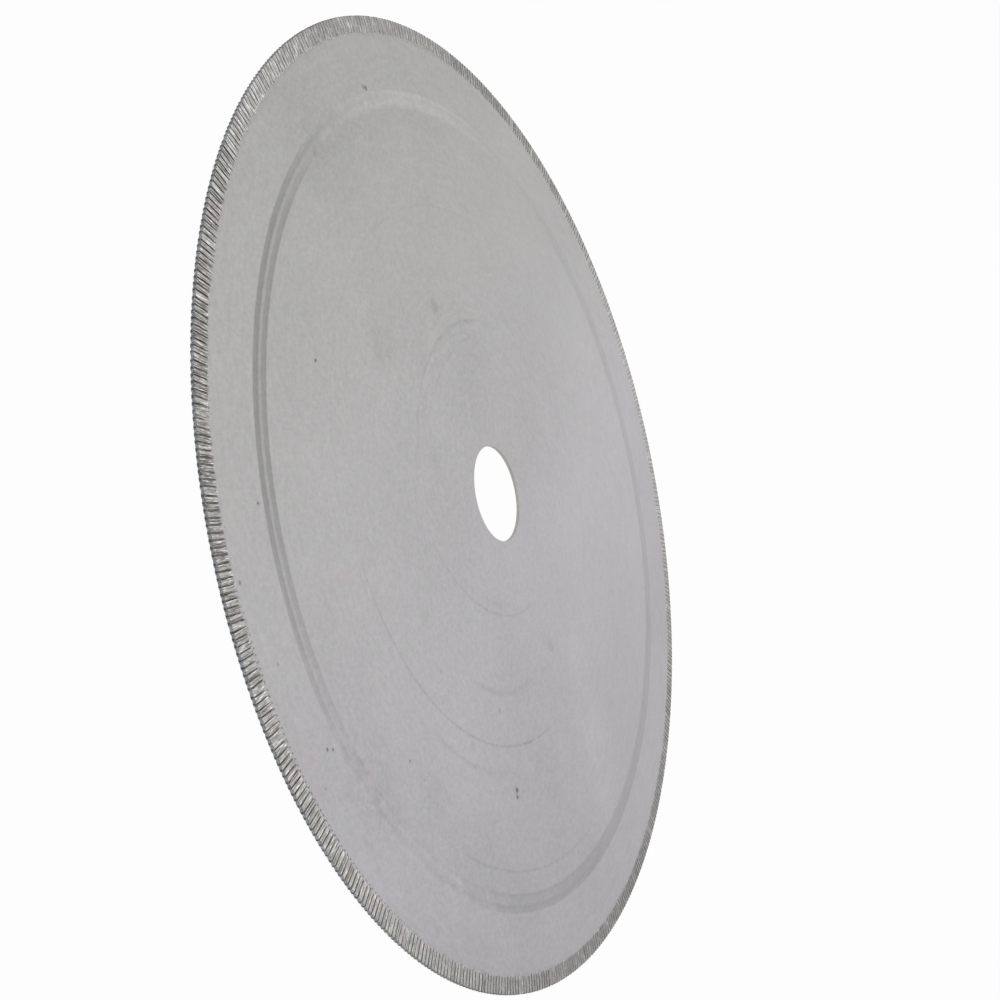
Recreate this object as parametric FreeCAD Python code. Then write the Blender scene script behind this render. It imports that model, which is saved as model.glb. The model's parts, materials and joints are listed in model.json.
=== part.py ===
# Lapidary saw blade: a thin steel disc with a plain bore, a rolled tension ring and a gashed rim.
# It lies flat, with +Z along the arbor and the origin at the middle of the bore. Lengths are in millimetres.
import FreeCAD, Part
import math
import os

# Disc
outer_diameter = 250.0
bore_diameter = 25.4
core_thickness = 0.8

# Tension ring, rolled into both faces as two shallow tracks with a narrow ridge left between them
ring_inset = 20.9
ridge_width = 0.8
track_width = 2.0
track_depth = 0.06

# Rim band, a little thicker than the core so that the cut clears the plate
side_clearance = 0.05
band_margin = 0.5
band_ramp = 0.7

# Gashes, pressed into both faces by a roller that has the same few knives on every turn
roller_turns = 60
gashes_per_turn = 9
turn_gap = 0.35
gash_length = 4.4
gash_mouth = 0.4
gash_lean = 1.0
lip = 0.2

# Sizes worked out from those above
outer_radius = outer_diameter / 2
bore_radius = bore_diameter / 2
land_radius = outer_radius - lip
core_half = core_thickness / 2
band_half = core_half + side_clearance
gash_end = outer_radius - gash_length
band_start = gash_end - band_margin
ring_radius = outer_radius - ring_inset

axis_point = FreeCAD.Vector(0, 0, 0)
axis_direction = FreeCAD.Vector(0, 0, 1)


def at(radius, angle, height):
    """The point at a radius, an angle in radians and a height."""
    return FreeCAD.Vector(radius * math.cos(angle), radius * math.sin(angle), height)


def face(*corners):
    """A flat face through the corners."""
    return Part.Face(Part.makePolygon([*corners, corners[0]]))


def gash_angles():
    """The angle of each gash at the rim, with a wider land where each turn of the roller starts."""
    turn = 2 * math.pi / roller_turns
    gap = turn_gap / outer_radius
    step = (turn - gap) / gashes_per_turn
    return [turn * i + gap / 2 + step * (j + 0.5)
            for i in range(roller_turns)
            for j in range(gashes_per_turn)]


def track(outer_edge):
    """One track's section on the upper face, from its outer edge inwards, as radius and height."""
    return [(outer_edge, core_half),
            (outer_edge - track_width / 2, core_half - track_depth),
            (outer_edge - track_width, core_half)]


def plate():
    """Everything inside the rim band: ramps, ring, plain faces and bore wall."""
    upper = [(band_start, band_half), (band_start - band_ramp, core_half)]
    upper += track(ring_radius + ridge_width / 2 + track_width)
    upper += track(ring_radius - ridge_width / 2)
    upper += [(bore_radius, core_half)]
    section = upper + [(radius, -height) for radius, height in reversed(upper)]
    outline = Part.makePolygon([at(radius, 0, height) for radius, height in section])
    return outline.revolve(axis_point, axis_direction, 360).Faces


def mouth(angle, height):
    """The two corners of a gash's mouth, on the face at a height."""
    half = gash_mouth / 2 / land_radius
    return at(land_radius, angle - half, height), at(land_radius, angle + half, height)


def inner_end(angle, height):
    """The inner end of a gash, which leans off the radius."""
    lean = gash_length * math.tan(math.radians(gash_lean)) / gash_end
    return at(gash_end, angle + lean, height)


def root(angle):
    """The deepest point of a gash, where it meets the one on the other face, out at the tip of the lips."""
    return at(outer_radius, angle, 0)


def gashed_face(angles, height):
    """One face of the rim band, with the two walls of each gash."""
    outline, faces = [], []
    for angle in angles:
        left, right = mouth(angle, height)
        end = inner_end(angle, height)
        outline += [left, end, right]
        faces += [face(left, end, root(angle)), face(right, end, root(angle))]
    rim = Part.makePolygon(outline + outline[:1])
    inner = Part.Wire(Part.makeCircle(band_start, FreeCAD.Vector(0, 0, height)))
    return faces + [Part.makeFace([rim, inner], "Part::FaceMakerBullseye")]


def edge(previous, angle):
    """The blade's edge from one gash to the next: the land between them and the two lips of the second."""
    left, right = mouth(angle, band_half)
    low_left, low_right = mouth(angle, -band_half)
    start, low_start = mouth(previous, band_half)[1], mouth(previous, -band_half)[1]
    return [face(start, left, low_left, low_start),
            face(left, low_left, root(angle)),
            face(right, low_right, root(angle))]


def blade():
    """The whole blade as one solid."""
    angles = gash_angles()
    faces = plate() + gashed_face(angles, band_half) + gashed_face(angles, -band_half)
    for previous, angle in zip(angles[-1:] + angles[:-1], angles):
        faces += edge(previous, angle)
    skin = Part.makeCompound(faces)
    skin.sewShape()
    return Part.Solid(skin.Shells[0])


os.makedirs("parts", exist_ok=True)
solid = blade()
print("blade: volume", round(solid.Volume, 2), "mm3, closed", solid.isClosed(), ", valid", solid.isValid())
solid.exportStep("parts/blade.step")
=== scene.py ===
import json
import math
import bpy
import numpy as np
from mathutils import Matrix, Vector


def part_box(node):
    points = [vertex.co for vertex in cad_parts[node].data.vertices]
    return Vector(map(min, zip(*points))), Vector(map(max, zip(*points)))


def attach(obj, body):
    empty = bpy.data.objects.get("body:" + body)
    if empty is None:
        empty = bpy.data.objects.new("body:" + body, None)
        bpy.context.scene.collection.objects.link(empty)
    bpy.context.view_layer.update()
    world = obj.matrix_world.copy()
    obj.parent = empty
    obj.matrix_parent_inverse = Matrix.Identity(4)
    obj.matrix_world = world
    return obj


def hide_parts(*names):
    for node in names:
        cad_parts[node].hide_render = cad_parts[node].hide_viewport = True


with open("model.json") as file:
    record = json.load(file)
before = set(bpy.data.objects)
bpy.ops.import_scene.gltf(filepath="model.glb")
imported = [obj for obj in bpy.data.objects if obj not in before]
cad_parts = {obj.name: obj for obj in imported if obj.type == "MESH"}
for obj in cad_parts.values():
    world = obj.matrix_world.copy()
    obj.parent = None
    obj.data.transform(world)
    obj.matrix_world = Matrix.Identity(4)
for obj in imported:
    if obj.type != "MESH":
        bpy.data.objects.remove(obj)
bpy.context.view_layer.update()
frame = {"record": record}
print("frame loaded")

mm = 0.001
scene = bpy.context.scene
scene.view_settings.view_transform = "Standard"

bladeLow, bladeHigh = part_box("blade")
outerRadius = bladeHigh.x / mm  # the blade is drawn in millimetres, and its mesh is scaled at the end
bandHalf = bladeHigh.z / mm  # half the thickness at the rim
bore = next(mount for mount in frame["record"]["mounts"] if mount["name"] == "bore")
boreRadius = bore["dims"]["r_mm"]
coreHalf = bore["dims"]["length_mm"] / 2


# Shader maths

class Wire:
    # a socket that can be used in an expression: each operator adds a Math node
    def __init__(self, maker, socket):
        self.maker = maker
        self.socket = socket

    def maths(self, operation, *values):
        return self.maker.node("ShaderNodeMath", {"operation": operation}, dict(enumerate(values or (self,))))

    def __add__(self, other): return self.maths("ADD", self, other)
    def __radd__(self, other): return self.maths("ADD", other, self)
    def __sub__(self, other): return self.maths("SUBTRACT", self, other)
    def __rsub__(self, other): return self.maths("SUBTRACT", other, self)
    def __mul__(self, other): return self.maths("MULTIPLY", self, other)
    def __rmul__(self, other): return self.maths("MULTIPLY", other, self)
    def __truediv__(self, other): return self.maths("DIVIDE", self, other)
    def __rtruediv__(self, other): return self.maths("DIVIDE", other, self)
    def __pow__(self, other): return self.maths("POWER", self, other)
    def __abs__(self): return self.maths("ABSOLUTE")
    def fraction(self): return self.maths("FRACT")


class Shader:
    # makes the nodes of one material or world
    def __init__(self, tree):
        self.tree = tree
        tree.nodes.clear()

    def node(self, kind, settings=None, sockets=None, out=0):
        made = self.tree.nodes.new(kind)
        for name, value in (settings or {}).items():
            if name == "stops":
                self.setStops(made.color_ramp, value)
            else:
                setattr(made, name, value)
        for name, value in (sockets or {}).items():
            if isinstance(value, Wire):
                self.tree.links.new(value.socket, made.inputs[name])
            else:
                made.inputs[name].default_value = value
        return Wire(self, made.outputs[out]) if made.outputs else None

    def setStops(self, ramp, stops):
        while len(ramp.elements) < len(stops):
            ramp.elements.new(0.5)
        for element, (place, level) in zip(ramp.elements, stops):
            element.position = place
            element.color = grey(level)

    def mix(self, factor, first, second, way="MIX"):  # sockets 6 and 7 are the two colours
        return self.node("ShaderNodeMix", {"data_type": "RGBA", "blend_type": way},
                         {0: factor, 6: first, 7: second}, 2)

    def step(self, value, low, high):  # 0 below low, 1 above high, smooth between
        return self.node("ShaderNodeMapRange", {"interpolation_type": "SMOOTHSTEP"},
                         {"Value": value, "From Min": low, "From Max": high})

    def between(self, value, low, lowEnd, highStart, high):  # 1 from lowEnd to highStart, 0 outside low and high
        return self.step(value, low, lowEnd) * (1 - self.step(value, highStart, high))

    def noise(self, place, scale, detail=2.0, roughness=0.5):
        return self.node("ShaderNodeTexNoise", {},
                         {"Vector": place, "Scale": scale, "Detail": detail, "Roughness": roughness})

    def vector(self, x, y, z):
        return self.node("ShaderNodeCombineXYZ", {}, {"X": x, "Y": y, "Z": z})

    def parts(self, vector):
        return [self.node("ShaderNodeSeparateXYZ", {}, {0: vector}, k) for k in range(3)]

    def larger(self, first, second):
        return first.maths("MAXIMUM", first, second)

    def away(self, place, x, y):  # distance from a point of the plate
        flat = self.node("ShaderNodeVectorMath", {"operation": "MULTIPLY"}, {0: place, 1: (1.0, 1.0, 0.0)})
        return self.node("ShaderNodeVectorMath", {"operation": "DISTANCE"}, {0: flat, 1: (x, y, 0.0)}, 1)


def grey(level):
    return (level, level, level, 1.0)


# Blade form

rim = {
    "turns": 60,  # turns of the gashing roller round the rim
    "gashesPerTurn": 9,
    "turnGap": 0.35,  # extra land where a turn of the roller starts
    "inward": (0.0, 0.3, 1.5, 2.9, 4.05, 4.35),  # rows of the rim band, inward from the edge
    "bandStart": 5.0,
    "rampEnd": 5.7,
    "lip": 0.2,  # how far the lips of a gash stand out past the lands
    "lipSides": 0.5,  # they fall back by this share at the gash's sides
    "round": 0.05,  # the corners of the edge are rounded this far in
    "shoulder": 0.36,  # and start this far from the middle of the thickness
    "shoulderDrop": 0.04,  # or this far below the face, where that is nearer the middle
    "half": 0.26,  # half the width of a gash without its gentler side
    # across a gash from its steep side to its gentler one: place in half widths, and share of the depth
    "section": ((-1.0, 0.0), (-0.6, 0.12), (-0.3, 1.0), (0.3, 1.0), (0.9, 0.22), (1.7, 0.0)),
    "passes": 3,  # times round that the gentler side changes over and back
    "passesFrom": 170,  # degrees, in the middle of a stretch
    "deepEdge": 0.07,  # depth of a gash at the very edge, just inside and at its inner end
    "deepOut": 0.4,
    "deepIn": 0.26,
    "lean": 0.6,  # degrees off the radius
    "leanSpread": 1.2,  # from one turn of the roller to the next
    "tiltSpread": 0.6,  # from one gash to the next
    "leanMore": (125, 25, 4.0),  # the part that leans more: its middle, half its width and its lean
    "placeSpread": 0.03,
    "widths": (0.85, 1.15),  # the least and most of each, as shares
    "depths": (0.75, 1.0),
    "lengths": (0.93, 1.04),
    "faint": (0.03, 0.35),  # share of the gashes that are faint, and of the depth that they have
    "scores": ((0.2, 0.3), (0.6, 0.7)),  # two finer lines on each land, as shares of its width
    "scoreDepth": 0.07,
    "scoreDepths": (0.2, 1.3),
    "scoreSpread": 0.02,
    "landDrop": 0.015,  # lands lie this far below the raised sides of the gashes
    "worn": (350, 0.4),  # the gashes are shallower towards this angle, at most by this share
    "wobble": 0.015,  # how far a gash strays sideways from row to row
    "uneven": 0.01,  # unevenness of the faces, of the row where the gashes end and of the edge
    "unevenEnd": 0.012,
    "unevenEdge": 0.02,
    "unevenTo": 0.3,  # the edge is uneven where it has less than this share of a gash's depth
    "seed": 7,
}

ring = {
    "inset": 20.9,  # from the edge to the middle of the ridge
    "ridge": 0.8,
    "track": 2.0,
    "depth": 0.06,
    "steps": 4,  # across a track
    "bend": 1.5,  # 1 rolls a track as a half wave, and more draws its sides in
}

plate = {
    "columns": 360,
    "rings": (90.0, 60.0, 38.0, 22.0),
    "edgeBreak": 0.06,  # the bore's corners are barely rounded
    "sharp": 25,  # edges that turn by more degrees than this are drawn sharp
}


def rimColumns(random):
    # each column of the rim band: its angle at the edge, lean, depth, length and whether it is in a gash
    turn = 2 * math.pi / rim["turns"]
    extra = rim["turnGap"] / outerRadius
    step = (turn - extra) / rim["gashesPerTurn"]
    steep, gentle = -rim["section"][0][0], rim["section"][-1][0]
    middleMore, halfMore, more = rim["leanMore"]
    wornTowards, wornMost = rim["worn"]
    faintShare, faintDepth = rim["faint"]
    columns = []
    for i in range(rim["turns"]):
        start = turn * i
        lean = rim["lean"] + random.normal(0, rim["leanSpread"])
        lean = math.radians(lean + more * math.exp(-((math.degrees(start) - middleMore) / halfMore) ** 2))
        worn = wornMost * (0.5 + 0.5 * math.cos(start - math.radians(wornTowards)))
        facing = 1 if math.cos(rim["passes"] * (start - math.radians(rim["passesFrom"]))) > 0 else -1
        for j in range(rim["gashesPerTurn"]):
            middle = start + extra / 2 + step * (j + 0.5) + random.normal(0, rim["placeSpread"]) / outerRadius
            half = rim["half"] / outerRadius * random.uniform(*rim["widths"])
            strength = random.uniform(*rim["depths"]) * (faintDepth if random.random() < faintShare else 1.0)
            strength = strength * (1 - worn)
            length = random.uniform(*rim["lengths"])
            tilt = lean + math.radians(random.normal(0, rim["tiltSpread"]))
            for place, depth in rim["section"][::facing]:
                columns.append((middle + facing * place * half, tilt, depth * strength, length, True))
            land = step - (steep + gentle) * half + (extra if j == rim["gashesPerTurn"] - 1 else 0)
            landStart = middle + (gentle if facing > 0 else steep) * half
            for shares in rim["scores"]:
                cut = rim["scoreDepth"] * random.uniform(*rim["scoreDepths"])
                shift = random.normal(0, rim["scoreSpread"])
                for share, depth in zip(shares, (0, cut) if facing > 0 else (cut, 0)):
                    columns.append((landStart + land * (share + shift), lean, depth, length, False))
    return [np.array(values) for values in zip(*columns)]


def rimRows(columns, random):
    # angles, radii and heights of the band's rows on one face
    angle, tilt, depth, length, inGash = columns
    count = len(angle)
    perGash = count // (rim["turns"] * rim["gashesPerTurn"])
    rows = []
    for k, inward in enumerate(rim["inward"]):
        share = inward / rim["inward"][-1]
        away = inward * length
        radius = outerRadius - away
        wobble = np.repeat(random.normal(0, rim["wobble"] if k else 0.0, count // perGash), perGash)
        turned = angle + (away * np.tan(tilt) + wobble) / radius
        gashDrop = depth * (rim["deepOut"] * (1 - share) + rim["deepIn"] * share if k else rim["deepEdge"])
        drop = np.where(inGash, gashDrop, depth + rim["landDrop"])
        drop = drop + np.abs(random.normal(0, rim["uneven"], count))
        if k == 0:
            back = np.where(inGash, rim["lip"] * rim["lipSides"] * (1 - depth), rim["lip"])
            radius = radius - rim["round"] - back
            radius = radius - np.abs(random.normal(0, rim["unevenEdge"], count)) * (depth < rim["unevenTo"])
        if k == len(rim["inward"]) - 1:
            drop = rim["landDrop"] + np.abs(random.normal(0, rim["unevenEnd"], count))
        rows.append((turned, radius, bandHalf - drop))
    return rows


def plateRings():
    # radius and height of each ring of the plate's face, from the rim band to the bore
    middle = outerRadius - ring["inset"]
    rings = [(outerRadius - rim["bandStart"], bandHalf - rim["landDrop"]),
             (outerRadius - rim["rampEnd"], coreHalf)]
    for start in (middle + ring["ridge"] / 2 + ring["track"], middle - ring["ridge"] / 2):
        for k in range(ring["steps"] + 1):
            share = k / ring["steps"]
            sunk = ring["depth"] * math.sin(math.pi * share) ** ring["bend"]
            rings.append((start - share * ring["track"], coreHalf - sunk))
    rings += [(radius, coreHalf) for radius in plate["rings"]]
    rings += [(boreRadius + plate["edgeBreak"], coreHalf), (boreRadius, coreHalf - plate["edgeBreak"])]
    return rings


def points(angle, radius, height):
    angle, radius, height = np.broadcast_arrays(angle, radius, height)
    return np.stack([radius * np.cos(angle), radius * np.sin(angle), height], 1)


def bands(starts, count, side=1):
    # the quads between each ring of points and the next; side -1 makes them face the other way
    here = np.arange(count)
    there = (here + 1) % count
    return [np.stack([first + here, first + there, second + there, second + here], 1)[:, ::side]
            for first, second in zip(starts, starts[1:])]


def fan(fine, fineCount, coarse, coarseCount):
    # the triangles between the rim's many columns and the plate's few
    faces = []
    per = fineCount // coarseCount
    for c in range(coarseCount):
        here, there = coarse + c, coarse + (c + 1) % coarseCount
        for k in range(per):
            near = fine + c * per + k
            far = fine + (c * per + k + 1) % fineCount
            faces.append((near, far, here if k < per // 2 else there))
            if k == per // 2:
                faces.append((near, there, here))
    return faces


def bladeMesh():
    random = np.random.default_rng(rim["seed"])
    columns = rimColumns(random)
    count, few = len(columns[0]), plate["columns"]
    around = np.arange(few) * 2 * math.pi / few
    vertices, quads, triangles, ends, edges = [], [], [], [], []
    total = 0
    for side in (1, -1):
        rows = rimRows(columns, random)
        starts = [total + k * count for k in range(len(rows))]
        vertices += [points(turned, radius, side * height) for turned, radius, height in rows]
        total += len(rows) * count
        rings = plateRings()
        ringStarts = [total + k * few for k in range(len(rings))]
        vertices += [points(around, radius, side * height) for radius, height in rings]
        total += len(rings) * few
        quads += bands(starts, count, side) + bands(ringStarts, few, side)
        triangles += [face[::side] for face in fan(starts[-1], count, ringStarts[0], few)]
        ends.append((starts[0], ringStarts[-1]))
        edges.append(rows[0])
    for side, (angle, radius, height) in zip((1, -1), edges):
        shoulder = np.minimum(rim["shoulder"], height - rim["shoulderDrop"])
        vertices.append(points(angle, radius + rim["round"], side * shoulder))
    (upperEdge, upperBore), (lowerEdge, lowerBore) = ends
    quads += bands([upperEdge, total, total + count, lowerEdge], count, -1)
    quads += bands([upperBore, lowerBore], few)
    mesh = bpy.data.meshes.new("sawBlade")
    faces = np.concatenate(quads).tolist() + [list(face) for face in triangles]
    mesh.from_pydata((np.concatenate(vertices) * mm).tolist(), [], faces)
    mesh.update()
    return mesh


# Blade finish

steel = {
    "plateWarm": (0.459, 0.4535, 0.4425, 1.0),  # at -X and +Y
    "plateCool": (0.463, 0.45, 0.465, 1.0),  # at +X and -Y, a little lilac
    "land": (0.455, 0.447, 0.437, 1.0),
    "seam": (0.18, 0.171, 0.159, 1.0),  # painted shade and dark grit in the bottoms of the gashes, and the dark chips and dents
    # painted shade on the edge wall
    "edge": (0.28, 0.3, 0.32, 1.0),
    # darker painted shade at the very edge and in the mouths of the gashes
    "mouth": (0.07, 0.077, 0.083, 1.0),
    "bore": (0.46, 0.45, 0.41, 1.0),
    "rust": (0.3, 0.23, 0.17, 1.0),
    "speck": (0.1, 0.08, 0.06, 1.0),
    # painted highlight: the colour of the bright glints at the burrs and on the lands
    "glint": (0.85, 0.83, 0.81, 1.0),
    # of the noises, in steps per millimetre
    "scales": {"grain": 0.9, "grit": 3.2, "streak": 2.6, "fineStreak": 4.6, "torn": 0.22, "clouds": 0.03,
               "grinding": 0.6, "swirl": 0.5, "scuff": 0.8, "rust": 0.35, "tint": 0.25},
    # how far in from the edge each starts, is full, fades and ends
    "places": {"burrs": (3.4, 3.9, 4.3, 4.8), "chips": (4.4, 4.5, 4.7, 4.85), "dents": (4.4, 4.55, 4.8, 4.95)},
    # the glints are painted highlights, the gashes painted shade with grit, the edge painted shade
    "shown": {"gashes": 0.85, "dents": 0.8, "chips": 0.5, "glints": 0.7, "rust": 0.25, "edge": 0.9},
    "metal": 0.95,
    "roughPlate": 0.45,
    "roughBand": 0.5,
    "roughGrain": 0.15,
    "smoothTracks": 0.05,  # the ring's tracks are this much smoother
    "grain": 0.46,  # how much the grain changes the tone at -X
    "grainLess": 0.14,  # and how much less it does so at +X
    "clouds": 0.14,
    "grinding": 0.14,
    "hairlines": ((25, 0.06), (-55, 0.09), (80, 0.05)),  # degrees, and scale along them
    "hairlineTone": 0.03,
    "swirl": 0.2,
    "swirlMiddle": (4, 4),
    "swirlRadii": (16, 24, 44, 60),
    "darkerLower": 0.075,  # painted shade makes the plate darker towards -Y and +X, and it is a little darker round the bore
    "darkerMiddle": 0.03,
    "gashDark": (0.02, 0.19),  # the depths at which the painted shade in a gash starts and is full
    "streak": 2.0,  # how much the streaks, the finer ones and the grit change the rim band's tone
    "fineStreak": 1.8,
    "grit": 0.9,
    "tint": 0.06,
    "dentShift": 0.55,  # the dents lie this far round the rim from the gashes
    "bump": 0.25,
    "bumpDepth": 0.02,
}

paintedShading = {  # painted reflection and shade, round the blade from -X by way of -Y, +X and +Y
    # painted reflection and shade of the ring's tracks against the plate
    "ring": ((0.0, 0.64), (0.06, 0.81), (0.1, 0.93), (0.15, 0.95), (0.19, 0.87), (0.27, 0.78), (0.36, 0.79),
             (0.5, 0.84), (0.62, 0.87), (0.7, 0.97), (0.765, 1.08), (0.82, 1.03), (0.855, 0.92), (0.9, 0.67),
             (0.95, 0.64), (1.0, 0.64)),
    # painted reflection and shade of the rim band against the plate
    "band": ((0.0, 0.96), (0.045, 1.01), (0.09, 1.2), (0.125, 1.16), (0.18, 1.03), (0.25, 0.77), (0.29, 0.74),
             (0.36, 0.82), (0.45, 1.06), (0.6, 1.12), (0.75, 0.94), (0.8, 0.94), (0.83, 0.88), (0.875, 1.16),
             (0.94, 1.07), (1.0, 0.96)),
    # how strongly the gashes' painted shade and their streaks show round the blade
    "contrast": ((0.0, 0.95), (0.08, 0.84), (0.125, 0.54), (0.17, 0.3), (0.25, 0.24), (0.5, 0.22), (0.75, 0.26),
                 (0.81, 0.45), (0.85, 0.8), (0.89, 0.95), (1.0, 0.95)),
    "most": 1.25,  # the ramps hold tones up to this
}

marks = {  # on the upper face: x and y in millimetres, then radius and strength
    "specks": ((-39.2, 100.4, 0.9, 0.5), (-38.0, 100.5, 1.0, 0.65), (-79.5, 28.7, 0.6, 0.8),
               (-108.2, -2.4, 0.6, 0.6), (-117.9, -17.7, 0.7, 0.5), (-96.5, -52.6, 0.6, 0.7),
               (-94.5, -53.0, 0.5, 0.7), (-64.9, -60.0, 0.5, 0.7), (-15.3, -75.3, 1.1, 0.8),
               (-15.6, -76.9, 0.9, 0.7), (-18.0, -55.0, 0.9, 0.3), (-109.3, -34.2, 0.5, 0.5),
               (-60.0, -65.0, 0.5, 0.3), (18.6, -42.5, 2.2, 0.14), (-44.9, -42.2, 0.9, 0.2),
               (-19.7, 48.1, 2.6, 0.18), (-99.0, -60.0, 0.4, 0.4)),
    # patches darker or lighter than the plate; the lighter ones are painted sheen
    "clouds": ((-20, 48, 4.5, -0.06), (-49, 36, 8, -0.09), (-31, 8, 6, -0.06), (18, -42, 7, -0.05),
               (29, 24, 12, -0.04), (-56, -69, 9, -0.06), (-82, -64, 15, -0.08), (-50, 86, 22, -0.04),
               (5, -72, 12, -0.04), (0, 38, 12, -0.04), (0, -58, 28, -0.05), (-72, 82, 14, -0.05),
               (-38, -84, 12, -0.05), (-5, 25, 10, -0.03), (38, -69, 15, 0.07), (34, -48, 10, 0.05),
               (40, -86, 10, 0.05), (34, -5, 16, 0.04), (95, 50, 40, 0.05), (75, 10, 40, 0.05)),
    # x, y, radius, half width, the angles between which it shows, strength
    "arcs": ((5.4, 0.9, 46.2, 0.6, 75, 178, -0.07), (5.4, 0.9, 45.8, 1.3, 90, 135, -0.055),
             (7.5, 0.5, 42.2, 0.9, 95, 150, -0.05), (5.0, 2.0, 49.0, 0.5, 100, 160, -0.04),
             (-2.2, 12.0, 44.1, 0.6, 212, 292, -0.1), (-2.2, 13.5, 43.0, 1.2, 225, 280, -0.04),
             (-6.4, 4.7, 69.6, 0.6, 193, 292, -0.13), (-7.0, 5.0, 71.0, 0.5, 196, 215, -0.06),
             (-9.7, -12.1, 39.3, 1.2, 238, 295, -0.08), (-11.5, -10.0, 60.9, 0.9, 226, 268, -0.07),
             (0, 0, 96.5, 0.6, 235, 290, -0.08), (0, 0, 51.0, 0.8, 80, 130, -0.03),
             (0, 0, 55.0, 0.8, -35, 30, -0.04), (0, 0, 78.5, 0.5, 120, 190, -0.04),
             (-4, 2, 74.0, 0.8, 75, 130, -0.04), (6, 4, 28.0, 0.6, 20, 110, 0.03)),
}


class SteelShader(Shader):
    # holds the places on the blade, in millimetres, and the noises that several marks share
    def __init__(self, tree):
        super().__init__(tree)
        metres = self.node("ShaderNodeTexCoord", out="Object")
        self.place = self.node("ShaderNodeVectorMath", {"operation": "SCALE"}, {0: metres, "Scale": 1 / mm})
        self.x, self.y, self.z = self.parts(self.place)
        self.radius = (self.x * self.x + self.y * self.y) ** 0.5
        self.inward = outerRadius - self.radius
        self.turned = self.y.maths("ARCTAN2", self.y, self.x) / (2 * math.pi) + 0.5
        self.upper = self.step(self.z, -0.1, 0.1)  # 1 on the upper face
        self.grit = self.noise(self.place, steel["scales"]["grit"], 2.0, 0.6) - 0.5
        self.torn = self.noise(self.place, steel["scales"]["torn"], 3.0, 0.65) - 0.5

    def moved(self, x, y):  # the place, moved sideways so that a mark's outline is ragged
        return self.node("ShaderNodeVectorMath", {"operation": "ADD"}, {0: self.place, 1: self.vector(x, y, 0.0)})

    # painted reflection and shade, looked up round the blade
    def paintedShadingRound(self, name):
        stops = [(place, tone / paintedShading["most"]) for place, tone in paintedShading[name]]
        return self.node("ShaderNodeValToRGB", {"stops": stops}, {0: self.turned}) * paintedShading["most"]


def streaksAlongGashes(s):
    # coarse and fine, on a coordinate that leans as the gashes do
    middle, half, more = rim["leanMore"]
    leanMore = (((s.turned - middle / 360 - 0.5) * (360 / half)) ** 2 * -1).maths("EXPONENT")
    drift = s.inward * (leanMore * math.radians(more) + math.radians(rim["lean"])) / outerRadius
    stretch = outerRadius / s.radius
    across = s.vector((s.x + s.y * drift) * stretch, (s.y - s.x * drift) * stretch, s.inward * 0.11 + s.upper * 9)
    scales = steel["scales"]
    return (s.noise(across, scales["streak"], 2.0, 0.6) - 0.5,
            s.noise(across, scales["fineStreak"], 1.0, 0.5) - 0.5)


def paintedRingShading(s):
    # two tracks, and a ridge between them that was rolled less; their tone round the blade is painted reflection
    # and shade
    middle = ring["inset"]
    reach = abs(s.inward - middle)
    width = ring["ridge"] / 2 + ring["track"]
    inRing = 1 - s.step(reach, width - 0.35, width + 0.1)
    ridge = 1 - s.step(reach, ring["ridge"] / 2 - 0.1, ring["ridge"] / 2 + 0.25)
    level = s.paintedShadingRound("ring")
    ridge = ridge * (1 - s.step(level, 0.93, 1.03))
    ringShading = (level - 1) * inRing * (1 - (0.62 - 0.4 * s.step(s.x, -50, 50)) * ridge)
    ringShading = ringShading * (1 + s.torn * s.step(level, 0.8, 0.93) * (1 - s.step(s.x, -30, 30)) * 6)
    ringShading = 1 + ringShading * (1 - 0.1 * s.step(s.inward, middle, middle + 1))
    return ringShading, inRing * (1 - ridge)


def plateTone(s):
    # grain, clouds, the arcs of the grinding and hairlines
    scales = steel["scales"]
    grain = s.noise(s.place, scales["grain"], 4.0, 0.65) - 0.5
    cloud = s.noise(s.place, scales["clouds"], 3.0, 0.5) - 0.5
    circling = s.vector(s.x * (30 / s.radius), s.y * (30 / s.radius), s.radius)
    grinding = s.noise(circling, scales["grinding"], 2.0, 0.6) - 0.5
    tone = 1 + grain * (steel["grain"] - steel["grainLess"] * s.step(s.x, -20, 80))
    tone = tone + cloud * steel["clouds"] + grinding * steel["grinding"]
    for angle, length in steel["hairlines"]:
        hairs = s.node("ShaderNodeMapping", {}, {
            "Vector": s.place, "Rotation": (0, 0, math.radians(angle)), "Scale": (length, 1.6, 1.0)})
        tone = tone + s.step(s.noise(hairs, 1.0, 2.0, 0.5), 0.66, 0.74) * steel["hairlineTone"]
    return tone, grain


# patches darker than the plate, and painted sheen where they are lighter
def cloudsAndSheen(s):
    ragged = s.moved(s.torn * 14, s.noise(s.place, 0.17, 3.0, 0.6) * 12 - 6)
    change = 0.0
    for x, y, size, strength in marks["clouds"]:
        change = change + (1 - s.step(s.away(ragged, x, y), 0.0, size * 1.2)) * strength
    scuff = s.step(s.noise(s.place, steel["scales"]["scuff"], 3.0, 0.7), 0.5, 0.62)
    return change * (0.7 + s.torn * 3 + scuff * 0.8)


def swirlMark(s):
    # rubbed round and round, a little off the middle
    x, y = s.x - steel["swirlMiddle"][0], s.y - steel["swirlMiddle"][1]
    radius = (x * x + y * y) ** 0.5
    circling = s.vector(x * (12 / radius), y * (12 / radius), radius * 1.3)
    swirl = s.noise(circling, steel["scales"]["swirl"], 3.0, 0.65)
    shown = s.between(radius, *steel["swirlRadii"]) * s.step(y, -35, 20)
    return (swirl - 0.53) * shown * steel["swirl"]


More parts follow.
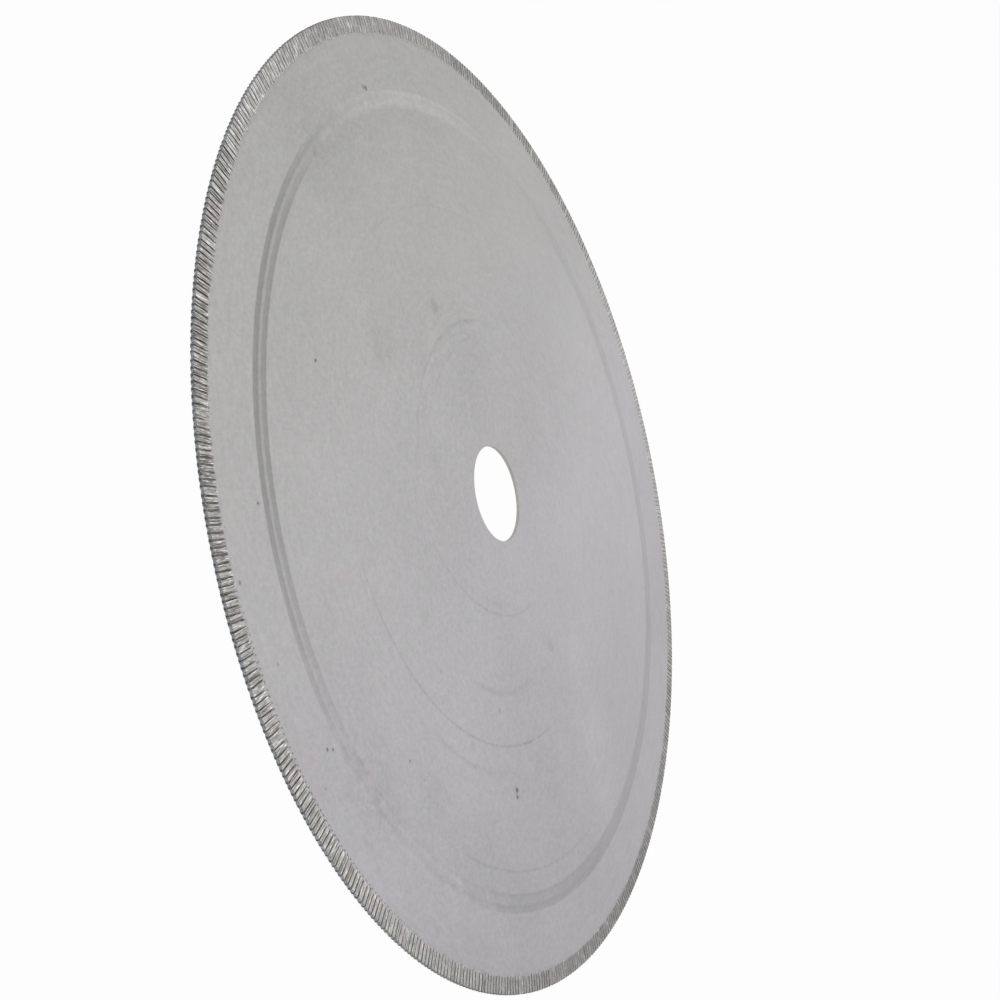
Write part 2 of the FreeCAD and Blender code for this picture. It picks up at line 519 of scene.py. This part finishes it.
def arcMark(s, x, y, size, half, first, last, strength):
    line = 1 - s.step(abs(s.away(s.place, x, y) - size), 0.0, half)
    halfAngle, middleAngle = math.radians((last - first) / 2), math.radians((last + first) / 2)
    towards = ((s.x - x) * math.cos(middleAngle) + (s.y - y) * math.sin(middleAngle)) / size
    shown = s.step(towards, math.cos(halfAngle), math.cos(halfAngle * 0.7))
    return line * shown * (1 + s.torn * 3) * strength


def useMarksAndShading(s):
    # what grinding, rubbing and use left on the upper face, with painted sheen and painted shade towards -Y and
    # +X
    change = cloudsAndSheen(s) + swirlMark(s)
    for arc in marks["arcs"]:
        change = change + arcMark(s, *arc)
    # painted shade towards -Y and +X
    change = change - s.step(s.x * 0.5 - s.y * 0.87, 30, 90) * steel["darkerLower"]
    change = change - (1 - s.step(s.radius, 25, 75)) * steel["darkerMiddle"]
    return change * s.upper


def dentMarks(s):
    # small dents just past the gashes, where the knives of the roller left the steel
    around = 2 * math.pi * outerRadius
    turn = around / rim["turns"]
    pitch = (turn - rim["turnGap"]) / rim["gashesPerTurn"]
    gashPlace = (s.turned - s.inward * (math.tan(math.radians(rim["lean"])) / around)) * rim["turns"]
    gashPlace = gashPlace.fraction() * turn - rim["turnGap"] / 2 - steel["dentShift"]
    off = abs((gashPlace / pitch).fraction() - 0.5) * pitch
    dents = 1 - s.step(off + s.grit * 0.3, 0.14, 0.34)
    dents = dents * s.between(s.inward, *steel["places"]["dents"])
    return dents * s.between(s.turned, 0.02, 0.045, 0.1, 0.17)


def bandColour(s, colour, inBand, streak, fine, contrast):
    # lands, gashes and edge, laid over the plate's colour, with painted highlights, and painted shade in the
    # gashes and on the edge wall
    shown, places = steel["shown"], steel["places"]
    colour = s.mix(inBand, colour, steel["land"])
    stained = s.step(s.noise(s.place, steel["scales"]["rust"], 3.0, 0.6), 0.55, 0.75)
    colour = s.mix(inBand * stained * shown["rust"], colour, steel["rust"])
    # painted highlights: bright glints past the gashes' inner ends and scattered over the lands
    burrs = s.between(s.inward, *places["burrs"]) * s.step(s.grit, 0.1, 0.2)
    glints = s.larger(burrs, s.step(s.inward, 0.1, 0.4) * inBand * s.step(fine, 0.1, 0.2))
    colour = s.mix(glints * shown["glints"], colour, steel["glint"])
    chips = s.between(s.inward, *places["chips"]) * s.step(streak - s.grit * 0.6, 0.1, 0.17)
    colour = s.mix(chips * shown["chips"], colour, steel["seam"])
    colour = s.mix(dentMarks(s) * shown["dents"], colour, steel["seam"])
    # painted shade in the gashes: the deeper a place lies, the darker it is painted
    sunk = bandHalf - rim["landDrop"] - abs(s.z) + s.grit * 0.07 + streak * 0.06
    gashShade = s.step(sunk, *steel["gashDark"]) * inBand
    colour = s.mix(gashShade * shown["gashes"] * contrast, colour, steel["seam"])
    # painted shade on the edge wall, set by how far its face turns from the blade's faces, lighter towards its
    # rounded corners
    facing = abs(s.parts(s.node("ShaderNodeTexCoord", out="Normal"))[2])
    edgeShade = (1 - s.step(facing, 0.55, 0.8)) * (1 - s.step(s.inward, 0.4, 0.6))
    edgeShade = edgeShade * (1 - s.step(abs(s.z) + streak * 0.2, 0.24, 0.38))
    edgeTipShade = 1 - s.step(s.inward + s.grit * 0.08, 0.06, 0.14)  # painted shade, darkest at the very edge, where the lips of the gashes stand out a little
    return s.mix(edgeShade * shown["edge"], colour, s.mix(edgeTipShade, steel["edge"], steel["mouth"]))


def steelFinish():
    material = bpy.data.materials.new("groundSteel")
    material.use_nodes = True
    s = SteelShader(material.node_tree)
    streak, fine = streaksAlongGashes(s)
    inBand = 1 - s.step(s.inward + streak * 1.6, rim["inward"][-2] - 0.1, rim["inward"][-1])
    contrast = s.paintedShadingRound("contrast")
    ringShading, inTracks = paintedRingShading(s)
    tone, grain = plateTone(s)
    tone = tone + useMarksAndShading(s)

    colour = s.mix(s.step(s.x * 0.4 - s.y * 0.9, -110, 40), steel["plateWarm"], steel["plateCool"])
    colour = bandColour(s, colour, inBand, streak, fine, contrast)
    colour = s.mix(1 - s.step(s.radius, boreRadius + 0.02, boreRadius + 0.08), colour, steel["bore"])
    ragged = s.moved(s.noise(s.place, 0.7, 2.0) * 1.2 - 0.6, s.grit * 1.5)
    for x, y, size, strength in marks["specks"]:
        speck = (1 - s.step(s.away(ragged, x, y), size * 0.3, size)) * s.upper * strength
        colour = s.mix(speck, colour, steel["speck"])
    # the band's streaks and grit, and its painted reflection and shade round the blade
    bandStreaksAndShading = streak * steel["streak"] + fine * steel["fineStreak"] + s.grit * steel["grit"]
    bandStreaksAndShading = 1 + (bandStreaksAndShading * contrast + s.paintedShadingRound("band") - 1) * inBand
    shade = tone * ringShading * bandStreaksAndShading
    tint = (s.noise(s.place, steel["scales"]["tint"], 2.0, 0.5) - 0.5) * steel["tint"]
    shades = s.vector(shade * (1 + tint), shade * (1 - tint), shade * (1 + tint * 0.6))
    colour = s.mix(1.0, colour, shades, "MULTIPLY")

    height = grain * 0.5 + (s.grit + streak) * inBand * 1.5
    bump = s.node("ShaderNodeBump", {}, {
        "Strength": steel["bump"], "Distance": steel["bumpDepth"] * mm, "Height": height})
    roughness = steel["roughPlate"] + (steel["roughBand"] - steel["roughPlate"]) * inBand
    roughness = roughness + grain * steel["roughGrain"] - inTracks * steel["smoothTracks"]
    surface = s.node("ShaderNodeBsdfPrincipled", {}, {
        "Base Color": colour, "Metallic": steel["metal"], "Roughness": roughness, "Normal": bump})
    s.node("ShaderNodeOutputMaterial", {}, {"Surface": surface})
    return material


blade = bpy.data.objects.new("sawBlade", bladeMesh())
scene.collection.objects.link(blade)
for polygon in blade.data.polygons:
    polygon.use_smooth = polygon.center.xy.length < (outerRadius - rim["bandStart"]) * mm
blade.data.set_sharp_from_angle(angle=math.radians(plate["sharp"]))
blade.data.materials.append(steelFinish())
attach(blade, "root")
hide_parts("blade")
print("blade made, triangles:", sum(len(polygon.vertices) - 2 for polygon in blade.data.polygons))


# Floor, light and camera

studio = {
    "floorRadius": 12.0,  # metres
    "floorSides": 64,
    "floorColour": 0.9,
    "floorGlow": 0.95,  # share of plain white that camera and mirror rays see in the floor
    "skyDark": 0.38,
    "skyBright": 1.2,
    "skyFrom": -0.9,  # dark up to here and bright from there, along X
    "skyTo": 1.2,
    "skySides": 0.9,  # how much darker the sky is at both sides, along Y
    "skyFall": 1.4,  # above 1, most of that comes near the sides
    "skyFront": 0.08,  # and how much more so towards -Y
    "keyWatts": 8.0,
    "keyPlace": (-0.2, 0.1, 1.7),
    "keySize": 1.5,
}

view = {
    "lens": 52.66,
    "turned": 64.184,  # degrees that the blade's face is turned away from the camera
    "tipped": -9.872,
    "right": -1.065 * mm,  # where the camera sees the middle of the blade
    "down": -1.664 * mm,
    "distance": 384.618 * mm,
    "nearest": 0.01,  # metres
}


def seenDirectly(s):
    path = [s.node("ShaderNodeLightPath", out=name) for name in
            ("Is Camera Ray", "Is Glossy Ray", "Is Transmission Ray")]
    return s.larger(s.larger(path[0], path[1]), path[2])


def floor():
    mesh = bpy.data.meshes.new("floor")
    radius, sides = studio["floorRadius"], studio["floorSides"]
    around = [2 * math.pi * k / sides for k in range(sides)]
    mesh.from_pydata([(radius * math.cos(a), radius * math.sin(a), bladeLow.z) for a in around],
                     [], [list(range(sides))])
    made = bpy.data.objects.new("floor", mesh)
    scene.collection.objects.link(made)
    material = bpy.data.materials.new("paleFloor")
    material.use_nodes = True
    s = Shader(material.node_tree)
    plain = s.node("ShaderNodeBsdfDiffuse", {}, {"Color": grey(studio["floorColour"])})
    glow = s.node("ShaderNodeEmission", {}, {"Color": grey(1.0)})
    surface = s.node("ShaderNodeMixShader", {}, {0: seenDirectly(s) * studio["floorGlow"], 1: plain, 2: glow})
    s.node("ShaderNodeOutputMaterial", {}, {"Surface": surface})
    mesh.materials.append(material)


def sky():
    world = bpy.data.worlds.new("studio")
    world.use_nodes = True
    scene.world = world
    s = Shader(world.node_tree)
    along, sideways, _ = s.parts(s.node("ShaderNodeTexCoord", out="Generated"))
    brighter = s.step(along, studio["skyFrom"], studio["skyTo"])
    level = studio["skyDark"] + (studio["skyBright"] - studio["skyDark"]) * brighter
    level = level * (1 - abs(sideways) ** studio["skyFall"] * studio["skySides"] + sideways * studio["skyFront"])
    camera = s.node("ShaderNodeLightPath", out="Is Camera Ray")
    strength = level + (1 - level) * camera
    background = s.node("ShaderNodeBackground", {}, {"Color": grey(1.0), "Strength": strength})
    s.node("ShaderNodeOutputWorld", {}, {"Surface": background})


def lamp():
    light = bpy.data.lights.new("key", "AREA")
    light.energy = studio["keyWatts"]
    light.size = studio["keySize"]
    made = bpy.data.objects.new("key", light)
    made.location = studio["keyPlace"]
    made.rotation_euler = (-Vector(studio["keyPlace"])).to_track_quat("-Z", "Y").to_euler()
    scene.collection.objects.link(made)


def photoCamera():
    # the blade's axes as the camera sees them (right, down, forward), turned round into the camera's own axes
    turned, tipped = math.radians(view["turned"]), math.radians(view["tipped"])
    normal = Vector((math.sin(turned) * math.cos(tipped), math.sin(tipped),
                     -math.cos(turned) * math.cos(tipped)))
    along = Vector((math.cos(turned), 0, math.sin(turned)))
    across = normal.cross(along)
    middle = Vector((view["right"], view["down"], view["distance"]))
    place = Vector((-middle.dot(along), -middle.dot(across), -middle.dot(normal)))
    right, up, back = [Vector((along[k], across[k], normal[k])) * sign
                       for k, sign in ((0, 1), (1, -1), (2, -1))]
    data = bpy.data.cameras.new("photoCamera")
    data.lens = view["lens"]
    data.clip_start = view["nearest"]
    made = bpy.data.objects.new("photoCamera", data)
    made.matrix_world = Matrix.Translation(place) @ Matrix((right, up, back)).transposed().to_4x4()
    scene.collection.objects.link(made)
    scene.camera = made


floor()
sky()
lamp()
photoCamera()
print("floor, light and camera made")
